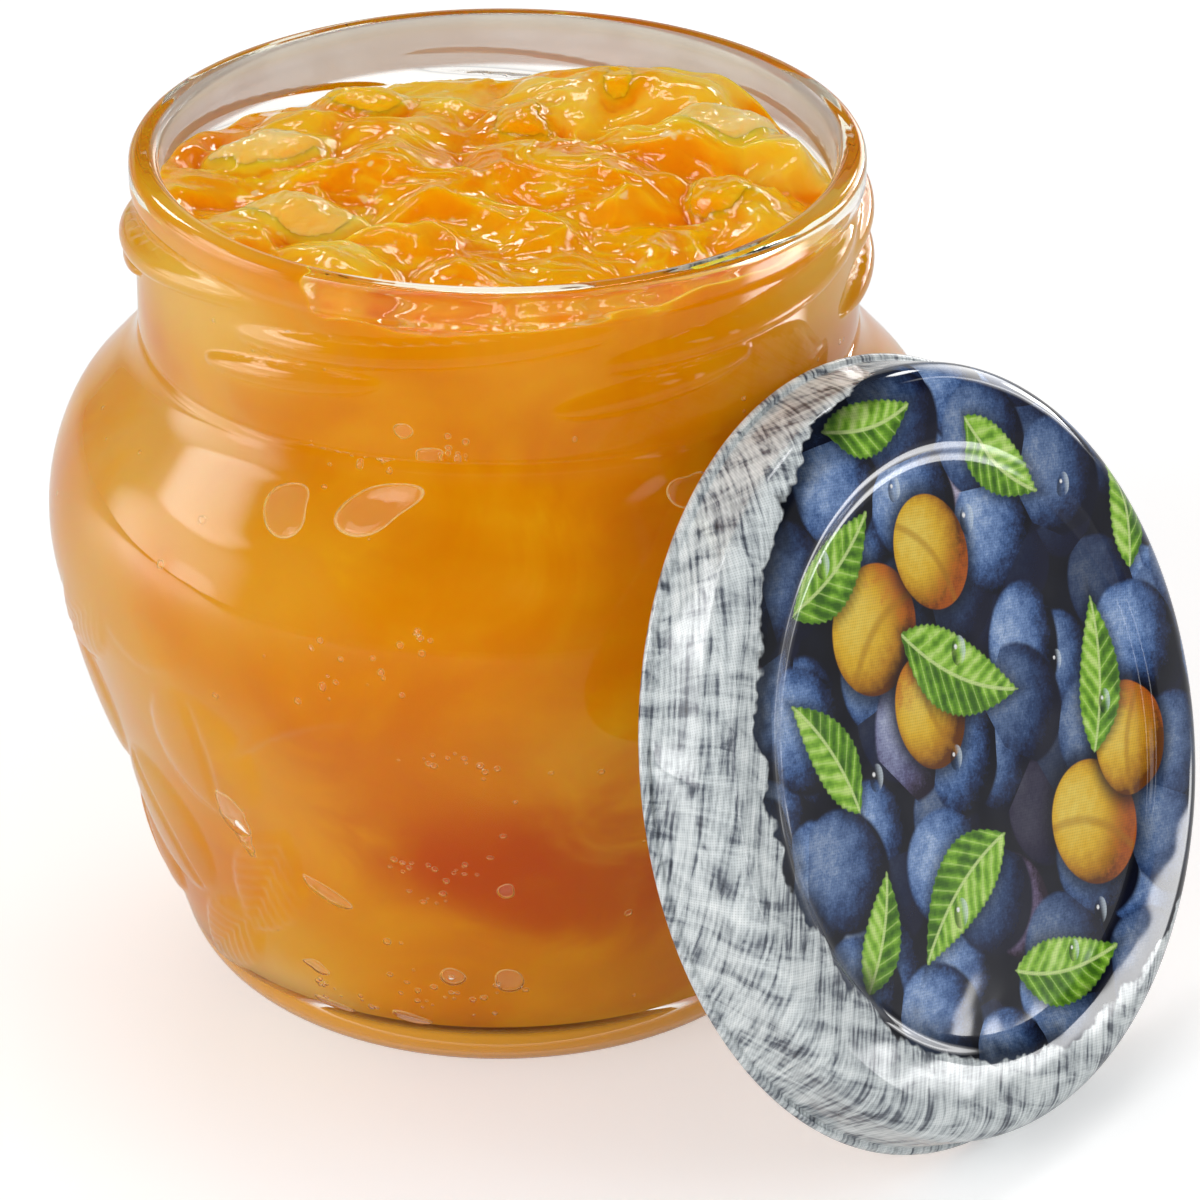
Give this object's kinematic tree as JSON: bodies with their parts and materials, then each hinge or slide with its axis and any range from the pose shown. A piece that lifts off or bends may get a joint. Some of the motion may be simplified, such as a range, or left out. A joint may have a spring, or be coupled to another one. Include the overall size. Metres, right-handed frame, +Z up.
{
  "type": "jam jar with screw lid",
  "caption": "Wide-mouth glass jar with an amphora-like body, filled with fruit jam with whole pieces; its twist-off metal lid stands beside it and leans on the body.",
  "frame": {"origin": "centre of the ring on which the jar stands, on the table's surface", "axes": "+Z up along the jar's axis, out of its mouth; +X to the right and -Y towards the viewer in the picture"},
  "size_m": [0.1236, 0.1188, 0.095],
  "materials": {
    "jar_glass": "clear pressed glass, smooth and glossy",
    "jam": "wet, glossy orange jelly",
    "fruit_pale": "wet, pale cooked fruit flesh",
    "fruit_deep": "wet, deep orange cooked fruit flesh",
    "lid_lacquer": "printed tinplate under clear gloss lacquer",
    "lid_seal": "soft white sealing compound, satin"
  },
  "bodies": {
    "jar": {"glass_jar": "jar_glass", "jam": "jam", "fruit_piece_left": "fruit_pale", "fruit_piece_back_left": "fruit_deep", "fruit_piece_front_left": "fruit_pale", "fruit_piece_middle": "fruit_deep", "fruit_piece_back_middle": "fruit_deep", "fruit_piece_back_right": "fruit_pale", "fruit_piece_right": "fruit_deep"},
    "lid": {"lid_shell": "lid_lacquer", "lid_seal": "lid_seal"}
  },
  "joints": [
    {"name": "lid_lift", "type": "slide", "parent": "jar", "child": "lid", "axis": [0.7405, -0.5785, 0.342], "range_m": [0, 0.06]}
  ]
}
